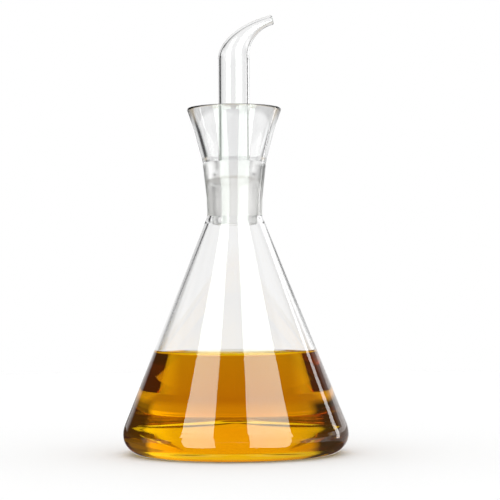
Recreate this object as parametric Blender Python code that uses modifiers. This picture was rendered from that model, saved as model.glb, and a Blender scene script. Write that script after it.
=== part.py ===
"""A conical glass oil cruet with a funnel mouth, a ground-glass pouring stopper and olive oil inside.

Three solids, in metres, +Z up, with the origin at the middle of the base on the table:
flask   the blown cone with its base, its ground neck and the flared funnel above it
pourer  the hollow ground plug, its straight tube and the bent spout, in one piece of glass
oil     the olive oil, from just above the glass base up to its level, creeping up the wall
The spout points to +X.
"""

import math

import bmesh
import bpy
from mathutils import Vector

MM = 0.001

# Whole object
TOTAL_HEIGHT = 180.0 * MM
TURN_STEPS = 48
ARC_STEP = math.radians(18)
GAP = 0.3 * MM
MERGE = 0.00001

# Flask, outside
BODY_RADIUS = 46.2 * MM
HEEL_ROUND = 8.05 * MM
SHOULDER_HEIGHT = 10.2 * MM
SHOULDER_ROUND = 10.0 * MM
NECK_HEIGHT = 97.2 * MM
NECK_RADIUS = 11.3 * MM
NECK_ROUND = 5.0 * MM
NECK_FLARE_HEIGHT = 105.0 * MM
NECK_FLARE_RADIUS = 11.5 * MM
FUNNEL_HEIGHT = 120.4 * MM
FUNNEL_RADIUS = 13.25 * MM
FUNNEL_ROUND = 14.0 * MM
FLARE_HEIGHT = 132.4 * MM
FLARE_RADIUS = 16.5 * MM
FLARE_ROUND = 40.0 * MM
RIM_HEIGHT = 141.8 * MM
RIM_RADIUS = 19.7 * MM
RIM_ROUND = 0.95 * MM
FOOT_RING_RADIUS = 33.25 * MM
FOOT_RING_ROUND = 3.0 * MM
PUNT_RADIUS = 5.5 * MM
PUNT_HEIGHT = 5.95 * MM
PUNT_ROUND = 20.0 * MM

# Flask, inside
CONE_WALL = 1.5 * MM
CONE_TOP = 93.8 * MM
FUNNEL_WALL = 2.2 * MM
FUNNEL_INSIDE_RISE = 0.9 * MM
FLARE_INSIDE_RISE = 0.3 * MM
BASE_GLASS = 4.35 * MM
INNER_HEEL_ROUND = 3.7 * MM
DOME_RISE = 4.15 * MM
DOME_RADIUS = 4.65 * MM
DOME_FOOT_RADIUS = 39.7 * MM
DOME_ROUND = 20.0 * MM
GROUND_LOW = 97.0 * MM
GROUND_TOP = 119.6 * MM
GROUND_LOW_RADIUS = 9.35 * MM
GROUND_TAPER = 0.05

# Pourer
PLUG_LOW = 93.8 * MM
PLUG_TOP = 112.6 * MM
PLUG_EDGE = 0.6 * MM
PLUG_SHOULDER = 0.8 * MM
PLUG_BORE = 7.1 * MM
BORE_TAPER = 0.3 * MM
BORE_NARROWS_BELOW = 3.8 * MM
BORE_NARROWS_OVER = 8.0 * MM
BORE_STATIONS = 5
BORE_OVERRUN = 2.0 * MM
ROOT_FLARE = 0.7 * MM
ROOT_LOW = 0.5 * MM
ROOT_TOP = 1.7 * MM
TUBE_RADIUS = 6.6 * MM
TUBE_BORE = 5.4 * MM
TUBE_STRAIGHT_TOP = 161.5 * MM
BEND_RISE = 6.5 * MM
BEND_REACH = 8.7 * MM
TIP_X = 15.7 * MM
TIP_RADIUS = 2.0 * MM
TIP_BORE = 1.05 * MM
TIP_RISE = math.radians(13)
NARROWING = 1.6
TUBE_SIDES = 20
BEND_STATIONS = 13
GROOVE_WIDTH = 1.4 * MM
GROOVE_DEPTH = 0.9 * MM

# Oil
OIL_LEVEL = 40.3 * MM
CREEP_HEIGHT = 1.8 * MM
CREEP_LENGTH = 1.0 * MM
CREEP_STATIONS = (2.2 * MM, 1.2 * MM, 0.65 * MM, 0.3 * MM)

# Colour, roughness and how much light each material lets through
GLASS_LOOK = ((0.97, 0.98, 0.98, 1.0), 0.03, 1.0)
OIL_LOOK = ((0.80, 0.46, 0.02, 1.0), 0.05, 0.6)


def new_collection(name):
    """A fresh collection in the scene."""
    collection = bpy.data.collections.new(name)
    bpy.context.scene.collection.children.link(collection)
    return collection


def material(name, look):
    """A see-through Principled material."""
    colour, roughness, transmission = look
    made = bpy.data.materials.new(name)
    made.use_nodes = True
    made.diffuse_color = colour
    shader = made.node_tree.nodes["Principled BSDF"]
    shader.inputs["Base Color"].default_value = colour
    shader.inputs["Roughness"].default_value = roughness
    shader.inputs["Metallic"].default_value = 0.0
    shader.inputs["Transmission Weight"].default_value = transmission
    return made


def rounded(corners):
    """The outline through (radius, height, round) corners, each one cut by an arc of its own radius."""
    points = []
    for number, (x, z, radius) in enumerate(corners):
        here = Vector((x, z))
        if radius == 0 or number in (0, len(corners) - 1):
            points.append(here)
            continue
        back = (Vector(corners[number - 1][:2]) - here).normalized()
        ahead = (Vector(corners[number + 1][:2]) - here).normalized()
        half = back.angle(ahead) / 2
        turn = math.pi - 2 * half
        reach = radius / math.tan(half)
        centre = here + (back + ahead).normalized() * (radius / math.sin(half))
        start = here + back * reach - centre
        sense = 1 if start.y * back.x - start.x * back.y > 0 else -1
        arcs = max(2, round(turn / ARC_STEP))
        for step in range(arcs + 1):
            angle = sense * turn * step / arcs
            cos, sin = math.cos(angle), math.sin(angle)
            points.append(centre + Vector((start.x * cos - start.y * sin, start.x * sin + start.y * cos)))
    return points


def turned(name, outline, collection):
    """A solid turned about Z, from an outline that runs down its outer side."""
    mesh = bpy.data.meshes.new(name)
    points = [(point.x, 0.0, point.y) for point in outline]
    mesh.from_pydata(points, [(i, i + 1) for i in range(len(points) - 1)], [])
    solid = bpy.data.objects.new(name, mesh)
    collection.objects.link(solid)
    screw = solid.modifiers.new("turn", "SCREW")
    screw.steps = TURN_STEPS
    screw.render_steps = TURN_STEPS
    screw.use_merge_vertices = True
    screw.merge_threshold = MERGE
    screw.use_smooth_shade = True
    return solid


CONE_SLOPE = (BODY_RADIUS - NECK_RADIUS) / (NECK_HEIGHT - SHOULDER_HEIGHT)
CONE_LEAN = math.hypot(1.0, CONE_SLOPE)


def cone_radius(height, inset=0.0):
    """The cone's outer radius at a height, or that of the line which lies inset from it, square to the wall."""
    return BODY_RADIUS - CONE_SLOPE * (height - SHOULDER_HEIGHT) - inset * CONE_LEAN


def ground_radius(height):
    """The radius of the ground cone in the neck, which the plug repeats a gap smaller."""
    return GROUND_LOW_RADIUS + GROUND_TAPER * (height - GROUND_LOW)


def inside_of_flask(inset):
    """The flask's inner outline from the base's middle up to the neck, moved in by inset."""
    wall = CONE_WALL + inset
    floor = BASE_GLASS + inset
    shoulder = SHOULDER_HEIGHT - wall * (CONE_LEAN - 1.0) / CONE_SLOPE
    return [
        (0.0, floor + DOME_RISE, 0.0),
        (DOME_RADIUS, floor + DOME_RISE, DOME_ROUND),
        (DOME_FOOT_RADIUS, floor, DOME_ROUND),
        (BODY_RADIUS - wall, floor, INNER_HEEL_ROUND - inset),
        (BODY_RADIUS - wall, shoulder, SHOULDER_ROUND - wall),
    ]


def flask(collection):
    """The blown flask: inside from the base up to the rim, then outside down to the punt under the base."""
    corners = inside_of_flask(0.0) + [
        (cone_radius(CONE_TOP, CONE_WALL), CONE_TOP, 0.0),
        (ground_radius(GROUND_LOW), GROUND_LOW, 0.0),
        (ground_radius(GROUND_TOP), GROUND_TOP, 0.0),
        (FUNNEL_RADIUS - FUNNEL_WALL, FUNNEL_HEIGHT + FUNNEL_INSIDE_RISE, FUNNEL_ROUND),
        (FLARE_RADIUS - FUNNEL_WALL, FLARE_HEIGHT + FLARE_INSIDE_RISE, FLARE_ROUND),
        (RIM_RADIUS - FUNNEL_WALL, RIM_HEIGHT, RIM_ROUND),
        (RIM_RADIUS, RIM_HEIGHT, RIM_ROUND),
        (FLARE_RADIUS, FLARE_HEIGHT, FLARE_ROUND),
        (FUNNEL_RADIUS, FUNNEL_HEIGHT, FUNNEL_ROUND),
        (NECK_FLARE_RADIUS, NECK_FLARE_HEIGHT, FLARE_ROUND),
        (NECK_RADIUS, NECK_HEIGHT, NECK_ROUND),
        (BODY_RADIUS, SHOULDER_HEIGHT, SHOULDER_ROUND),
        (BODY_RADIUS, 0.0, HEEL_ROUND),
        (FOOT_RING_RADIUS, 0.0, FOOT_RING_ROUND),
        (PUNT_RADIUS, PUNT_HEIGHT, PUNT_ROUND),
        (0.0, PUNT_HEIGHT, 0.0),
    ]
    return turned("flask", rounded(corners), collection)


def oil(collection):
    """The oil: its surface from the middle out to where it creeps up the glass, then down the wall to the floor."""
    contact = OIL_LEVEL + CREEP_HEIGHT
    edge = cone_radius(contact, CONE_WALL + GAP)
    surface = [(0.0, OIL_LEVEL, 0.0)]
    for distance in CREEP_STATIONS:
        rise = CREEP_HEIGHT * math.exp(-distance / CREEP_LENGTH)
        surface.append((edge - distance, OIL_LEVEL + rise, 0.0))
    surface.append((edge, contact, 0.0))
    wall = inside_of_flask(GAP)
    return turned("oil", rounded(surface + wall[::-1]), collection)


TIP_WAY = Vector((math.cos(TIP_RISE), 0.0, math.sin(TIP_RISE)))


def bend_point(share):
    """A point of the spout's middle line, share 0 where the straight tube ends and 1 at the tip."""
    start = Vector((0.0, 0.0, TUBE_STRAIGHT_TOP))
    tip_middle = Vector((TIP_X, 0.0, TOTAL_HEIGHT - TIP_RADIUS * math.cos(TIP_RISE)))
    first = start + Vector((0.0, 0.0, BEND_RISE))
    second = tip_middle - TIP_WAY * BEND_REACH
    rest = 1.0 - share
    return (
        start * rest**3
        + first * 3 * rest**2 * share
        + second * 3 * rest * share**2
        + tip_middle * share**3
    )


def spout_stations(start_radius, tip_radius):
    """(point, radius) along the spout, narrowing from the tube to the tip."""
    stations = []
    for step in range(1, BEND_STATIONS + 1):
        share = step / BEND_STATIONS
        narrowing = math.sin(share * math.pi / 2) ** NARROWING
        stations.append((bend_point(share), start_radius + (tip_radius - start_radius) * narrowing))
    return stations


def tube_mesh(name, stations, collection):
    """A closed round tube through (point, radius) stations, made as a curve and turned into a mesh."""
    curve = bpy.data.curves.new(name, "CURVE")
    curve.dimensions = "3D"
    curve.bevel_depth = 1.0
    curve.bevel_resolution = TUBE_SIDES // 2 - 2
    curve.use_fill_caps = True
    spline = curve.splines.new("POLY")
    spline.points.add(len(stations) - 1)
    for point, (place, radius) in zip(spline.points, stations):
        point.co = (*place, 1.0)
        point.radius = radius
    guide = bpy.data.objects.new(name + "_curve", curve)
    collection.objects.link(guide)
    bpy.context.view_layer.update()
    evaluated = guide.evaluated_get(bpy.context.evaluated_depsgraph_get())
    mesh = bpy.data.meshes.new_from_object(evaluated)
    solid = bpy.data.objects.new(name, mesh)
    solid.matrix_world = guide.matrix_world
    bpy.data.objects.remove(guide)
    collection.objects.link(solid)
    shape = bmesh.new()
    shape.from_mesh(mesh)
    bmesh.ops.remove_doubles(shape, verts=shape.verts, dist=MERGE)
    bmesh.ops.recalc_face_normals(shape, faces=shape.faces)
    shape.to_mesh(mesh)
    shape.free()
    mesh.shade_smooth()
    return solid


def cut(solid, cutter):
    """Takes the cutter away from the solid."""
    cutter.hide_render = True
    cutter.display_type = "WIRE"
    boolean = solid.modifiers.new("cut_" + cutter.name, "BOOLEAN")
    boolean.operation = "DIFFERENCE"
    boolean.solver = "EXACT"
    boolean.object = cutter


def upright(radius, height):
    """A station on the middle axis."""
    return Vector((0.0, 0.0, height)), radius


def pourer(collection, cutters):
    """The ground plug, its shoulder, the straight tube and the bent spout, hollow from end to end."""
    plug_low_radius = ground_radius(PLUG_LOW) - GAP
    plug_top_radius = ground_radius(PLUG_TOP) - GAP
    outside = [
        upright(plug_low_radius - PLUG_EDGE, PLUG_LOW),
        upright(plug_low_radius, PLUG_LOW + PLUG_EDGE),
        upright(plug_top_radius, PLUG_TOP - PLUG_SHOULDER),
        upright(plug_top_radius - PLUG_SHOULDER, PLUG_TOP),
        upright(TUBE_RADIUS + ROOT_FLARE, PLUG_TOP + ROOT_LOW),
        upright(TUBE_RADIUS, PLUG_TOP + ROOT_TOP),
        upright(TUBE_RADIUS, TUBE_STRAIGHT_TOP),
    ]
    outside += spout_stations(TUBE_RADIUS, TIP_RADIUS)
    shell = tube_mesh("pourer", outside, collection)

    wide = PLUG_BORE + BORE_TAPER
    inside = [upright(PLUG_BORE, PLUG_LOW - BORE_OVERRUN)]
    for step in range(BORE_STATIONS + 1):
        share = step / BORE_STATIONS
        radius = wide + (TUBE_BORE - wide) * (1.0 - math.cos(math.pi * share)) / 2
        inside.append(upright(radius, PLUG_TOP - BORE_NARROWS_BELOW + BORE_NARROWS_OVER * share))
    inside.append(upright(TUBE_BORE, TUBE_STRAIGHT_TOP))
    inside += spout_stations(TUBE_BORE, TIP_BORE)
    inside.append((bend_point(1.0) + TIP_WAY * BORE_OVERRUN, TIP_BORE))
    bore = tube_mesh("pourer_bore", inside, cutters)
    cut(shell, bore)

    length = PLUG_TOP - PLUG_LOW + 2 * BORE_OVERRUN
    bpy.ops.mesh.primitive_cube_add(size=1.0)
    groove = bpy.context.object
    groove.name = "air_groove"
    groove.data.transform(groove.matrix_world)
    for vertex in groove.data.vertices:
        vertex.co.x *= 2 * GROOVE_DEPTH
        vertex.co.y *= GROOVE_WIDTH
        vertex.co.z *= length
    groove.location = ((plug_low_radius + plug_top_radius) / 2, 0.0, (PLUG_LOW + PLUG_TOP) / 2)
    groove.rotation_euler = (0.0, math.atan(GROUND_TAPER), 0.0)
    for owner in groove.users_collection:
        owner.objects.unlink(groove)
    cutters.objects.link(groove)
    cut(shell, groove)
    return shell


def main():
    for old in list(bpy.data.objects):
        bpy.data.objects.remove(old)
    parts = new_collection("oil_cruet")
    cutters = new_collection("cutters")
    glass = material("clear_glass", GLASS_LOOK)
    olive = material("olive_oil", OIL_LOOK)
    for solid, look in (
        (flask(parts), glass),
        (pourer(parts, cutters), glass),
        (oil(parts), olive),
    ):
        solid.data.materials.clear()
        solid.data.materials.append(look)


main()
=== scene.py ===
import math

import bmesh
import bpy
from mathutils import Matrix, Vector


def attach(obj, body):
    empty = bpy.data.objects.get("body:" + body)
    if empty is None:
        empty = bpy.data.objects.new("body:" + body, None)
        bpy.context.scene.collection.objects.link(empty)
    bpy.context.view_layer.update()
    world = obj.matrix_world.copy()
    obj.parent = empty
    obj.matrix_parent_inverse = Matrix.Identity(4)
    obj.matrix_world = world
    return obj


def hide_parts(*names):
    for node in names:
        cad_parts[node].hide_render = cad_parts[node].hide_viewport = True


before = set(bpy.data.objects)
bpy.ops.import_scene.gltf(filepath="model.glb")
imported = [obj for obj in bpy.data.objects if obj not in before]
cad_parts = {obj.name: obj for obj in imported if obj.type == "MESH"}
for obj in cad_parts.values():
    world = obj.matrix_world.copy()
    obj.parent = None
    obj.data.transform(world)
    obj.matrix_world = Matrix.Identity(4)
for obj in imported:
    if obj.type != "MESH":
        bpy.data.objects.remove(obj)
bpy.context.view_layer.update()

# The imported model stays where it is, and nothing of it stays selected, so that the operators below act on
# new pieces only.
bpy.ops.object.select_all(action="DESELECT")

# Camera.
# It stands 740 millimetres in front, a little lower than the flask's middle, so that the rim is seen from
# below and the oil from above. It leans by a third of a degree, as the flask in the picture does.
MM = 0.001
picture_width = 205.4 * MM
camera_distance = 740.0 * MM
camera_height = 67.0 * MM
camera_lean = math.radians(0.36)
aim = Vector((6.2 * MM, 0.0, 83.3 * MM))
camera_data = bpy.data.cameras.new("camera")
camera_data.sensor_width = 36.0
camera_data.lens = camera_data.sensor_width * camera_distance / picture_width
camera_data.clip_start = 0.05
camera_data.clip_end = 60.0
camera = bpy.data.objects.new("camera", camera_data)
bpy.context.scene.collection.objects.link(camera)
camera.location = (aim.x, -camera_distance, camera_height)
looking = (aim - camera.location).to_track_quat("-Z", "Y").to_matrix()
camera.rotation_euler = (looking @ Matrix.Rotation(-camera_lean, 3, "Z")).to_euler()
bpy.context.scene.camera = camera

# Flask.
# Blown clear glass: a cone on a rounded heel with a pushed-up base, a neck that is ground inside, and a
# funnel mouth with a fire-polished rim. Its outline is drawn corner by corner and spun round.
spin_steps = 192
weld = 0.002 * MM
smooth_below = math.radians(35)


def pick(obj, test):
    """Selects the vertices for which test is true, in edit mode, and nothing else."""
    bpy.ops.mesh.select_mode(type="VERT")
    bpy.ops.mesh.select_all(action="DESELECT")
    shape = bmesh.from_edit_mesh(obj.data)
    for vertex in shape.verts:
        vertex.select = test(vertex.co)
    shape.select_flush_mode()
    bmesh.update_edit_mesh(obj.data)


def spun(name, corners, steps):
    """A closed turned piece from (radius, height, rounding, segments) corners in millimetres."""
    x, z = corners[0][:2]
    bpy.ops.mesh.primitive_plane_add(size=MM, location=(0.0, 0.0, 0.0))
    piece = bpy.context.object
    piece.name = name
    bpy.ops.object.mode_set(mode="EDIT")
    bpy.ops.mesh.merge(type="CENTER")
    bpy.ops.transform.translate(value=(x * MM, 0.0, z * MM))
    for corner in corners[1:]:
        step = ((corner[0] - x) * MM, 0.0, (corner[1] - z) * MM)
        bpy.ops.mesh.extrude_region_move(TRANSFORM_OT_translate={"value": step})
        x, z = corner[:2]
    for number, (x, z, rounding, segments) in enumerate(corners):
        if rounding == 0:
            continue
        here = Vector((x, z))
        back = (Vector(corners[number - 1][:2]) - here).normalized()
        ahead = (Vector(corners[number + 1][:2]) - here).normalized()
        reach = rounding / math.tan(back.angle(ahead) / 2)
        place = Vector((x, 0.0, z)) * MM
        pick(piece, lambda co: (co - place).length < weld)
        bpy.ops.mesh.bevel(offset=reach * MM, segments=segments, affect="VERTICES", profile=0.5)
    bpy.ops.mesh.select_all(action="SELECT")
    bpy.ops.mesh.spin(steps=steps, angle=2 * math.pi, center=(0, 0, 0), axis=(0, 0, 1))
    bpy.ops.mesh.select_all(action="SELECT")
    bpy.ops.mesh.remove_doubles(threshold=weld)
    bpy.ops.mesh.normals_make_consistent(inside=False)
    bpy.ops.object.mode_set(mode="OBJECT")
    bpy.ops.object.shade_smooth_by_angle(angle=smooth_below)
    return piece


body_radius = 46.2
shoulder = 10.2
shoulder_round = 10.0
heel_round = 8.05
wall = 1.5
neck_low = 97.2
neck_radius = 11.3
cone_slope = (body_radius - neck_radius) / (neck_low - shoulder)
cone_lean = math.hypot(1.0, cone_slope)


def cone(height, inset=0.0):
    """The cone's outer radius at a height, or that of a line lying inset from it."""
    return body_radius - cone_slope * (height - shoulder) - inset * cone_lean


ground_low = 97.0
ground_top = 119.6
ground_low_radius = 9.35
ground_taper = 0.05
floor_glass = 4.35
dome = 4.15
dome_flat = 4.65
dome_foot = 39.7
dome_round = 20.0
floor_round = 3.7
punt = 5.95


def inner_wall(inset):
    """The inside outline from the middle of the floor to the foot of the cone, moved in by inset."""
    thickness = wall + inset
    low_shoulder = shoulder - thickness * (cone_lean - 1.0) / cone_slope
    return [
        (0.0, floor_glass + dome + inset, 0, 0),
        (dome_flat, floor_glass + dome + inset, dome_round, 4),
        (dome_foot, floor_glass + inset, dome_round, 4),
        (body_radius - thickness, floor_glass + inset, floor_round - inset, 12),
        (body_radius - thickness, low_shoulder, shoulder_round - thickness, 6),
    ]


# From the inside up: the cone's wall with the oil's line on it, the ground seat, the funnel and its rim.
oil_line = 42.1
cone_top = 93.8
rim_height = 141.8
rim_round = 0.95
going_up = [
    (cone(oil_line, wall), oil_line, 0, 0),
    (cone(cone_top, wall), cone_top, 1.5, 4),
    (ground_low_radius, ground_low, 0, 0),
    (ground_low_radius + ground_taper * (ground_top - ground_low), ground_top, 0, 0),
    (11.05, 121.3, 10.0, 6),
    (14.3, 132.7, 40.0, 6),
    (17.5, rim_height, rim_round, 6),
]
# Down the outside: the funnel, the waist, the cone, the heel, the ring that it stands on and the push-up.
foot_ring = 33.25
going_down = [
    (19.7, rim_height, rim_round, 6),
    (16.5, 132.4, 40.0, 6),
    (13.25, 120.4, 14.0, 6),
    (11.5, 105.0, 40.0, 6),
    (neck_radius, neck_low, 5.0, 8),
    (body_radius, shoulder, shoulder_round, 8),
    (body_radius, 0.0, heel_round, 20),
    (foot_ring, 0.0, 3.0, 4),
    (5.5, punt, 20.0, 4),
    (0.0, punt, 0, 0),
]
flask = spun("flask_glass", inner_wall(0.0) + going_up + going_down, spin_steps)


def glass(name, roughness, bending, shade=(1.0, 1.0, 1.0)):
    """Clear glass, faintly uneven as blown glass is, with the shade that ground glass takes on."""
    made = bpy.data.materials.new(name)
    made.use_nodes = True
    nodes, links = made.node_tree.nodes, made.node_tree.links
    shader = nodes["Principled BSDF"]
    shader.inputs["Transmission Weight"].default_value = 1.0
    shader.inputs["IOR"].default_value = bending
    shader.inputs["Roughness"].default_value = roughness
    place = nodes.new("ShaderNodeTexCoord")
    waves = nodes.new("ShaderNodeTexNoise")
    waves.inputs["Scale"].default_value = 45.0
    waves.inputs["Detail"].default_value = 1.0
    links.new(place.outputs["Object"], waves.inputs["Vector"])
    tint = nodes.new("ShaderNodeMix")
    tint.data_type = "RGBA"
    tint.inputs["A"].default_value = (0.996 * shade[0], 0.998 * shade[1], 0.998 * shade[2], 1.0)
    tint.inputs["B"].default_value = (*shade, 1.0)
    links.new(waves.outputs["Fac"], tint.inputs["Factor"])
    links.new(tint.outputs["Result"], shader.inputs["Base Color"])
    bump = nodes.new("ShaderNodeBump")
    bump.inputs["Strength"].default_value = 0.08
    bump.inputs["Distance"].default_value = 0.2 * MM
    links.new(waves.outputs["Fac"], bump.inputs["Height"])
    links.new(bump.outputs["Normal"], shader.inputs["Normal"])
    return made


glass_bending = 1.53
oil_bending = 1.47
clear_glass = glass("clear_glass", 0.0, glass_bending)
ground_glass = glass("ground_glass", 0.5, 1.16, shade=(1.0, 0.997, 0.988))
wet_glass = glass("wet_glass", 0.0, glass_bending / oil_bending)
flask.data.materials.append(clear_glass)
flask.data.materials.append(ground_glass)
flask.data.materials.append(wet_glass)
# The seat of the plug is ground. Below the oil's line the inner wall bends light as glass does against oil.
near_seat = 0.05
for face in flask.data.polygons:
    middle = face.center
    across = math.hypot(middle.x, middle.y) / MM
    height = middle.z / MM
    to_axis = face.normal.x * middle.x + face.normal.y * middle.y < 0 and face.normal.z > -0.5
    if height < oil_line and (to_axis or face.normal.z > 0.5):
        face.material_index = 2
    seat = ground_low_radius + ground_taper * (height - ground_low)
    if abs(across - seat) < near_seat and ground_low < height < ground_top:
        face.material_index = 1
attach(flask, "root")
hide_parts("flask")

# Pourer.
# One piece of glass: a hollow ground plug, a straight tube and a spout that bends over and narrows. A ring
# is pushed out along its middle line, once for the outside and once for the bore. The plug's air groove is
# cut last. It sits in the neck by its taper alone.
ring_sides = 64
plug_low = 93.8
plug_top = 112.6
plug_gap = 0.08
tube_radius = 6.6
tube_bore = 5.45
bend_start = 161.5
total_height = 180.0
tip_x = 15.7
tip_radius = 2.0
tip_bore = 1.1
tip_rise = math.radians(13)
tip_way = Vector((math.cos(tip_rise), 0.0, math.sin(tip_rise)))
tube_pull = 6.5
tip_pull = 8.7
bend_steps = 36
narrowing = 1.6


def upright(radius, height):
    """A ring on the upright axis: its middle, the way it faces and its radius."""
    return Vector((0.0, 0.0, height)), 0.0, radius


def bend(share, from_radius, to_radius):
    """A ring along the bent spout, share 0 at the tube and 1 at the tip."""
    ends = Vector((0, 0, bend_start)), Vector((tip_x, 0, total_height - tip_radius * math.cos(tip_rise)))
    first, second = ends[0] + Vector((0, 0, tube_pull)), ends[1] - tip_way * tip_pull
    rest = 1 - share
    middle = (ends[0] * rest**3 + first * 3 * rest**2 * share
              + second * 3 * rest * share**2 + ends[1] * share**3)
    way = ((first - ends[0]) * rest**2 + (second - first) * 2 * rest * share
           + (ends[1] - second) * share**2)
    radius = from_radius + (to_radius - from_radius) * math.sin(share * math.pi / 2) ** narrowing
    return middle, math.atan2(way.x, way.z), radius


def pushed_out(name, rings):
    """A skin through rings of (middle, lean, radius), extruded from one circle."""
    middle, lean, radius = rings[0]
    bpy.ops.mesh.primitive_circle_add(vertices=ring_sides, radius=radius * MM, location=(0, 0, 0))
    skin = bpy.context.object
    skin.name = name
    bpy.ops.object.mode_set(mode="EDIT")
    bpy.ops.mesh.select_all(action="SELECT")
    bpy.ops.transform.translate(value=middle * MM)
    for next_middle, next_lean, next_radius in rings[1:]:
        bpy.ops.mesh.extrude_region_move(TRANSFORM_OT_translate={"value": (next_middle - middle) * MM})
        centre = next_middle * MM
        if next_lean != lean:
            bpy.ops.transform.rotate(value=lean - next_lean, orient_axis="Y", center_override=centre)
        if next_radius != radius:
            grow = next_radius / radius
            bpy.ops.transform.resize(value=(grow, grow, grow), center_override=centre)
        middle, lean, radius = next_middle, next_lean, next_radius
    bpy.ops.object.mode_set(mode="OBJECT")
    return skin


def arc(middle, radius, start, end, steps):
    """Upright rings round part of a circle, for a rounded edge."""
    rings = []
    for step in range(steps + 1):
        angle = math.radians(start + (end - start) * step / steps)
        rings.append(upright(middle[0] + radius * math.cos(angle), middle[1] + radius * math.sin(angle)))
    return rings


plug_radius_low = ground_low_radius + ground_taper * (plug_low - ground_low) - plug_gap
plug_radius_top = ground_low_radius + ground_taper * (plug_top - ground_low) - plug_gap
plug_foot = 7.9
foot_round = 0.6
top_round = 1.3
lip = (tip_radius - tip_bore) / 2
outside = [upright(plug_foot, plug_low)]
outside += arc((plug_radius_low - foot_round, plug_low + foot_round), foot_round, -90, 0, 4)
outside += arc((plug_radius_top - top_round, plug_top - top_round), top_round, 0, 80, 6)
for wider, above in ((1.0, 0.25), (0.45, 0.6), (0.12, 1.2), (0.0, 2.0)):
    outside.append(upright(tube_radius + wider, plug_top + above))
outside += [upright(tube_radius, bend_start)]
outside += [bend(step / bend_steps, tube_radius, tip_radius) for step in range(1, bend_steps + 1)]
plug_bore = 7.35
waist_below = 3.8
waist_length = 8.0
waist_steps = 12
inside = [upright(plug_foot, plug_low), upright(7.3, plug_low + 0.2), upright(7.1, plug_low + 0.7)]
for step in range(waist_steps + 1):
    share = (1 - math.cos(math.pi * step / waist_steps)) / 2
    height = plug_top - waist_below + waist_length * step / waist_steps
    inside.append(upright(plug_bore + (tube_bore - plug_bore) * share, height))
inside += [upright(tube_bore, bend_start)]
inside += [bend(step / bend_steps, tube_bore, tip_bore) for step in range(1, bend_steps + 1)]
for skin in (outside, inside):
    middle, lean, radius = skin[-1]
    for turn in (30, 60, 90):
        out = math.sin(math.radians(turn)) * lip
        back = (1 - math.cos(math.radians(turn))) * lip
        edge = radius - back if skin is outside else radius + back
        skin.append((middle + tip_way * out, lean, edge))
pourer = pushed_out("pourer_glass", outside)
bore = pushed_out("pourer_bore", inside)
bpy.ops.object.select_all(action="DESELECT")
bore.select_set(True)
pourer.select_set(True)
bpy.context.view_layer.objects.active = pourer
bpy.ops.object.join()
bpy.ops.object.mode_set(mode="EDIT")
bpy.ops.mesh.select_all(action="SELECT")
bpy.ops.mesh.remove_doubles(threshold=weld)
bpy.ops.mesh.normals_make_consistent(inside=False)
bpy.ops.object.mode_set(mode="OBJECT")
groove_width = 1.4
groove_depth = 0.9
groove_overrun = 4.0
groove_length = plug_top - plug_low + groove_overrun
groove_place = Vector(((plug_radius_low + plug_radius_top) / 2, 0.0, (plug_low + plug_top) / 2)) * MM
bpy.ops.mesh.primitive_cube_add(size=MM, location=(0, 0, 0))
groove = bpy.context.object
bpy.ops.object.mode_set(mode="EDIT")
bpy.ops.mesh.select_all(action="SELECT")
bpy.ops.transform.resize(value=(2 * groove_depth, groove_width, groove_length), center_override=(0, 0, 0))
bpy.ops.transform.translate(value=groove_place)
bpy.ops.transform.rotate(value=-math.atan(ground_taper), orient_axis="Y", center_override=groove_place)
bpy.ops.object.mode_set(mode="OBJECT")
bpy.ops.object.select_all(action="DESELECT")
pourer.select_set(True)
bpy.context.view_layer.objects.active = pourer
carve = pourer.modifiers.new("air_groove", "BOOLEAN")
carve.operation = "DIFFERENCE"
carve.solver = "EXACT"
carve.object = groove
bpy.ops.object.modifier_apply(modifier=carve.name)
bpy.data.objects.remove(groove)
bpy.ops.object.shade_smooth_by_angle(angle=smooth_below)
pourer.data.materials.append(clear_glass)
pourer.data.materials.append(ground_glass)
for face in pourer.data.polygons:
    middle = face.center
    across = math.hypot(middle.x, middle.y) / MM
    height = middle.z / MM
    if plug_low + 0.1 < height < plug_top + 0.2 and across > plug_foot:
        face.material_index = 1
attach(pourer, "root")
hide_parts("pourer")

# Oil.
# Clear golden olive oil. It fills the flask to its level, creeps up the glass at the edge and reaches a
# little into the glass all round, so that no air shows between them. Its faint glow stands for the light
# that real oil scatters, and keeps its darkest corners brown.
oil_level = 40.3
creep = 1.8
creep_length = 1.0
into_glass = 0.2
edge = cone(oil_line, wall - into_glass)
surface = [(0.0, oil_level, 0, 0)]
for distance in (6.5, 5.2, 4.2, 3.4, 2.7, 2.15, 1.7, 1.35, 1.05, 0.8, 0.6, 0.42, 0.26, 0.12):
    surface.append((edge - distance, oil_level + creep * math.exp(-distance / creep_length), 0, 0))
surface.append((edge, oil_line, 0, 0))
oil = spun("olive_oil", surface + inner_wall(-into_glass)[::-1], spin_steps)
olive = bpy.data.materials.new("olive_oil")
olive.use_nodes = True
nodes, links = olive.node_tree.nodes, olive.node_tree.links
shader = nodes["Principled BSDF"]
shader.inputs["Base Color"].default_value = (1.0, 1.0, 1.0, 1.0)
shader.inputs["Transmission Weight"].default_value = 1.0
shader.inputs["Roughness"].default_value = 0.0
# Painted glow: the oil gives off a faint amber light of its own, standing in for the light real oil
# scatters.
shader.inputs["Emission Color"].default_value = (1.0, 0.6, 0.08, 1.0)
shader.inputs["Emission Strength"].default_value = 0.008
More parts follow.
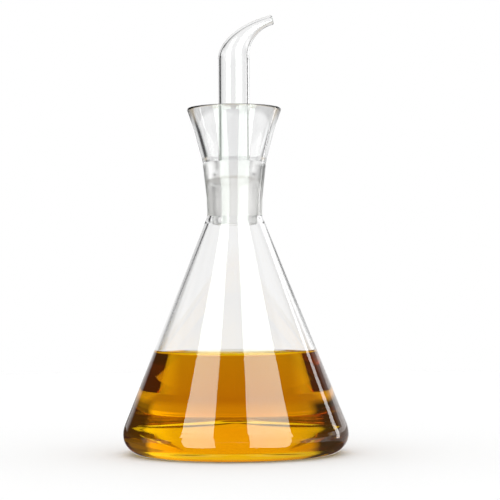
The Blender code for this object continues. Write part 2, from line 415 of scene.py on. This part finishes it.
# Only the free surface bends light. In the wall the glass does that, so the oil's own skin there doesn't.
open_air = oil.data.attributes.new("open_air", "FLOAT", "FACE")
for face in oil.data.polygons:
    open_air.data[face.index].value = float(face.normal.z > 0.2 and face.center.z > oil_level * MM - weld)
surface_kind = nodes.new("ShaderNodeAttribute")
surface_kind.attribute_name = "open_air"
bend_light = nodes.new("ShaderNodeMath")
bend_light.operation = "MULTIPLY_ADD"
bend_light.inputs[1].default_value = oil_bending - 1.0
bend_light.inputs[2].default_value = 1.0
links.new(surface_kind.outputs["Fac"], bend_light.inputs[0])
links.new(bend_light.outputs["Value"], shader.inputs["IOR"])
depth = nodes.new("ShaderNodeVolumeAbsorption")
depth.inputs["Color"].default_value = (0.984, 0.8987, 0.05, 1.0)
depth.inputs["Density"].default_value = 150.0
links.new(depth.outputs["Volume"], nodes["Material Output"].inputs["Volume"])
oil.data.materials.append(olive)
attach(oil, "root")
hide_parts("oil")

# Floor.
# A round matt white table top, wider than the picture. The white studio goes on behind its edge.
table_radius = 750.0 * MM
bpy.ops.mesh.primitive_circle_add(vertices=96, radius=table_radius, fill_type="NGON", location=(0, 0, 0))
table = bpy.context.object
table.name = "table"
white = bpy.data.materials.new("table_white")
white.use_nodes = True
nodes, links = white.node_tree.nodes, white.node_tree.links
shader = nodes["Principled BSDF"]
shader.inputs["Roughness"].default_value = 0.8
shader.inputs["Specular IOR Level"].default_value = 0.1
grain = nodes.new("ShaderNodeTexNoise")
grain.inputs["Scale"].default_value = 400.0
place = nodes.new("ShaderNodeTexCoord")
links.new(place.outputs["Object"], grain.inputs["Vector"])
pale = nodes.new("ShaderNodeMix")
pale.data_type = "RGBA"
pale.inputs["A"].default_value = (0.88, 0.88, 0.88, 1.0)
pale.inputs["B"].default_value = (0.9, 0.9, 0.9, 1.0)
links.new(grain.outputs["Fac"], pale.inputs["Factor"])
links.new(pale.outputs["Result"], shader.inputs["Base Color"])
table.data.materials.append(white)
table.visible_glossy = False
table.visible_transmission = False

# Light.
# A studio of grey walls round the flask: white behind it, with dark gaps that draw the edges of the glass.
# What is seen through the glass and what it mirrors have walls of their own. Two tall soft boxes in front
# are the pale strips, a narrow lamp is the white line, and a white card lies on the table in front.
world = bpy.data.worlds.new("studio")
world.use_nodes = True
nodes, links = world.node_tree.nodes, world.node_tree.links
room = nodes["Background"]
way = nodes.new("ShaderNodeTexCoord")
axes = nodes.new("ShaderNodeSeparateXYZ")
links.new(way.outputs["Generated"], axes.inputs["Vector"])
bearing = nodes.new("ShaderNodeMath")
bearing.operation = "ARCTAN2"
links.new(axes.outputs["X"], bearing.inputs[0])
links.new(axes.outputs["Y"], bearing.inputs[1])
turn = nodes.new("ShaderNodeMath")
turn.operation = "MULTIPLY_ADD"
turn.inputs[1].default_value = 0.5 / math.pi
turn.inputs[2].default_value = 0.5
links.new(bearing.outputs["Value"], turn.inputs[0])


# Amber is painted light: the tint of light that has come through the oil and falls on the table behind the
# flask.
amber = (0.97, 0.86, 0.7)


def ring(walls, amber_within=0):
    """Grey walls, as pairs of an angle from straight behind the flask to the right and a brightness."""
    band = nodes.new("ShaderNodeValToRGB")
    stops = band.color_ramp.elements
    while len(stops) < len(walls):
        stops.new(0.5)
    for stop, (angle, brightness) in zip(stops, walls):
        tint = amber if abs(angle) < amber_within else (1.0, 1.0, 1.0)
        stop.position = angle / 360 + 0.5
        stop.color = (brightness * tint[0], brightness * tint[1], brightness * tint[2], 1.0)
    links.new(turn.outputs["Value"], band.inputs["Fac"])
    return band.outputs["Color"]


dark = 0.015
top_ring = ring([(-180, dark), (-100, dark), (-94, 0.4), (-62, 0.4), (-56, dark), (-46, dark),
                 (-36, 0.8), (-12, 1.0), (34, 1.1), (42, 0.8), (48, dark), (54, dark), (60, 0.9),
                 (94, 0.9), (100, dark), (180, dark)])
top_mirrored = ring([(-180, dark), (-46, dark), (-36, 0.8), (-12, 1.0), (34, 1.1), (42, 0.8),
                     (48, dark), (180, dark)])
high_ring = ring([(-180, dark), (-112, dark), (-106, 1.3), (-50, 1.3), (-45, dark), (-36, dark),
                  (-28, 0.85), (-12, 1.0), (10, 1.05), (24, 1.4), (32, 1.4), (40, 1.0), (106, 1.0),
                  (112, 0.25), (134, 0.3), (180, 0.2)])
high_mirrored = ring([(-180, dark), (-16, dark), (-10, 0.8), (0, 1.0), (12, 0.9), (20, 0.4), (40, 0.3),
                      (46, 0.05), (180, dark)])
belt_mirrored = ring([(-180, dark), (-36, dark), (-30, 0.5), (-12, 1.0), (33, 1.1), (66, 0.9),
                      (74, 0.1), (180, dark)])
low_mirrored = ring([(-180, dark), (-112, dark), (-106, 0.5), (-74, 0.5), (-68, 0.03), (-16, 0.03),
                     (-10, 0.8), (0, 1.0), (12, 0.9), (20, 0.4), (66, 0.3), (74, 0.9), (106, 0.9),
                     (112, 0.25), (180, dark)])
belt_ring = ring([(-180, dark), (-142, dark), (-138, 0.06), (-124, 0.06), (-118, 0.3), (-74, 0.3),
                  (-68, 0.03), (-34, 0.03), (-28, 0.75), (-12, 1.0), (14, 1.0), (22, 1.35), (33, 1.5),
                  (38, 0.2), (66, 0.2), (74, 0.3), (118, 0.3), (124, 0.06), (138, 0.06), (142, dark),
                  (180, dark)])
low_ring = ring([(-180, dark), (-112, dark), (-106, 0.9), (-74, 0.9), (-68, 0.03), (-34, 0.03),
                 (-28, 0.6), (-12, 0.75), (20, 0.75), (33, 0.9), (38, 0.3), (66, 0.3), (74, 0.9),
                 (156, 0.9), (162, 0.2), (180, 0.2)])
# Below the horizon this ring stands for the table seen through the glass. Straight behind the flask it is
# darker and amber: painted shade of the flask, with painted amber light from the oil.
floor_ring = ring([(-180, 0.6), (-120, 0.6), (-90, 0.85), (-45, 0.85), (-38, 0.6), (38, 0.6),
                   (45, 0.85), (90, 0.85), (120, 0.75), (180, 0.75)], amber_within=40)
near_ring = ring([(-180, 0.6), (-120, 0.6), (-90, 0.85), (90, 0.85), (120, 0.75), (180, 0.75)])
floor_mirrored = ring([(-180, dark), (-95, dark), (-70, 0.12), (-50, 0.06), (50, 0.06), (70, 0.12),
                       (95, dark), (180, dark)])


def stacked(lower, upper, from_angle, to_angle):
    """One ring above another, blended between two angles above the horizon."""
    blend = nodes.new("ShaderNodeMapRange")
    blend.inputs["From Min"].default_value = math.sin(math.radians(from_angle))
    blend.inputs["From Max"].default_value = math.sin(math.radians(to_angle))
    links.new(axes.outputs["Z"], blend.inputs["Value"])
    both = nodes.new("ShaderNodeMix")
    both.data_type = "RGBA"
    links.new(blend.outputs["Result"], both.inputs["Factor"])
    links.new(lower, both.inputs["A"])
    links.new(upper, both.inputs["B"])
    return both.outputs["Result"]


seen = stacked(near_ring, floor_ring, -34, -30)
seen = stacked(seen, low_ring, -19, -9)
seen = stacked(seen, belt_ring, -4, -2)
seen = stacked(seen, high_ring, 14, 16)
seen = stacked(seen, top_ring, 26, 30)
mirrored = stacked(floor_mirrored, low_mirrored, -15, -12)
mirrored = stacked(mirrored, belt_mirrored, 1, 2)
mirrored = stacked(mirrored, high_mirrored, 8, 9)
mirrored = stacked(mirrored, top_mirrored, 26, 30)
ray = nodes.new("ShaderNodeLightPath")


def only_for(kind, usual):
    """A choice of colour: the usual one, and for one kind of ray another, which is set on its B."""
    choice = nodes.new("ShaderNodeMix")
    choice.data_type = "RGBA"
    links.new(ray.outputs[kind], choice.inputs["Factor"])
    links.new(usual, choice.inputs["A"])
    return choice


# The table is lit evenly, and the camera sees plain white past the glass.
walls = only_for("Is Reflection Ray", seen)
links.new(mirrored, walls.inputs["B"])
evenly = only_for("Is Diffuse Ray", walls.outputs["Result"])
evenly.inputs["B"].default_value = (1.17, 1.17, 1.17, 1.0)
backdrop = only_for("Is Camera Ray", evenly.outputs["Result"])
backdrop.inputs["B"].default_value = (1.0, 1.0, 1.0, 1.0)
links.new(backdrop.outputs["Result"], room.inputs["Color"])
bpy.context.scene.world = world


def mirrored_lamp(name, width, height, radiance, place, turned, shade=(1.0, 1.0, 1.0)):
    """A flat even lamp that shows only as a mirror image in the glass."""
    lamp_data = bpy.data.lights.new(name, "AREA")
    lamp_data.shape = "RECTANGLE"
    lamp_data.size = width
    lamp_data.size_y = height
    lamp_data.energy = radiance * math.pi * width * height
    lamp_data.color = shade
    lamp = bpy.data.objects.new(name, lamp_data)
    bpy.context.scene.collection.objects.link(lamp)
    lamp.location = place
    lamp.rotation_euler = turned
    lamp.visible_camera = False
    lamp.visible_diffuse = False
    lamp.visible_transmission = False


lamp_distance = 0.9


def tall_lamp(name, from_angle, to_angle, low, high, radiance, shade=(1.0, 1.0, 1.0)):
    """A lamp that faces the flask, from one side angle to another, measured from the camera's side."""
    middle_angle = math.radians((from_angle + to_angle) / 2)
    half = math.radians((to_angle - from_angle) / 2)
    side = Vector((math.sin(middle_angle), -math.cos(middle_angle), 0.0))
    place = side * lamp_distance + Vector((0.0, 0.0, (low + high) / 2))
    turned = (-side).to_track_quat("-Z", "Y").to_euler()
    mirrored_lamp(name, 2 * lamp_distance * math.tan(half), high - low, radiance, place, turned, shade)


# Each soft box is a stack of three, dimmer and narrower further down, as the strips on the oil are.
box_shade = (0.94, 1.08, 0.96)
tiers = (("top", 0.48, 1.6, 0.0), ("middle", 0.19, 0.48, 0.5), ("low", -0.56, 0.19, 1.0))
for tier, low, high, inward in tiers:
    radiance = 6.5 - 1.5 * inward
    tall_lamp("left_" + tier, -60 + 6 * inward, -24 + 3.5 * inward, low, high, radiance, box_shade)
    tall_lamp("right_" + tier, 13 + inward, 62 - 5.5 * inward, low, high, radiance, box_shade)
tall_lamp("narrow_lamp", 121, 127.5, -0.1, 1.2, 3.6)
card_place = (-0.03, -0.23, 0.002)
facing_up = (math.pi, 0.0, 0.0)
mirrored_lamp("white_card", 0.24, 0.2, 0.9, card_place, facing_up)
scene = bpy.context.scene
scene.view_settings.view_transform = "Standard"
# Light passes many faces of glass and oil before it leaves the flask. Light that is caught inside by total
# reflection would come out red after a long way round, so it stops after eight mirror bounces.
scene.cycles.max_bounces = 24
scene.cycles.transmission_bounces = 24
scene.cycles.glossy_bounces = 8
scene.cycles.transparent_max_bounces = 16
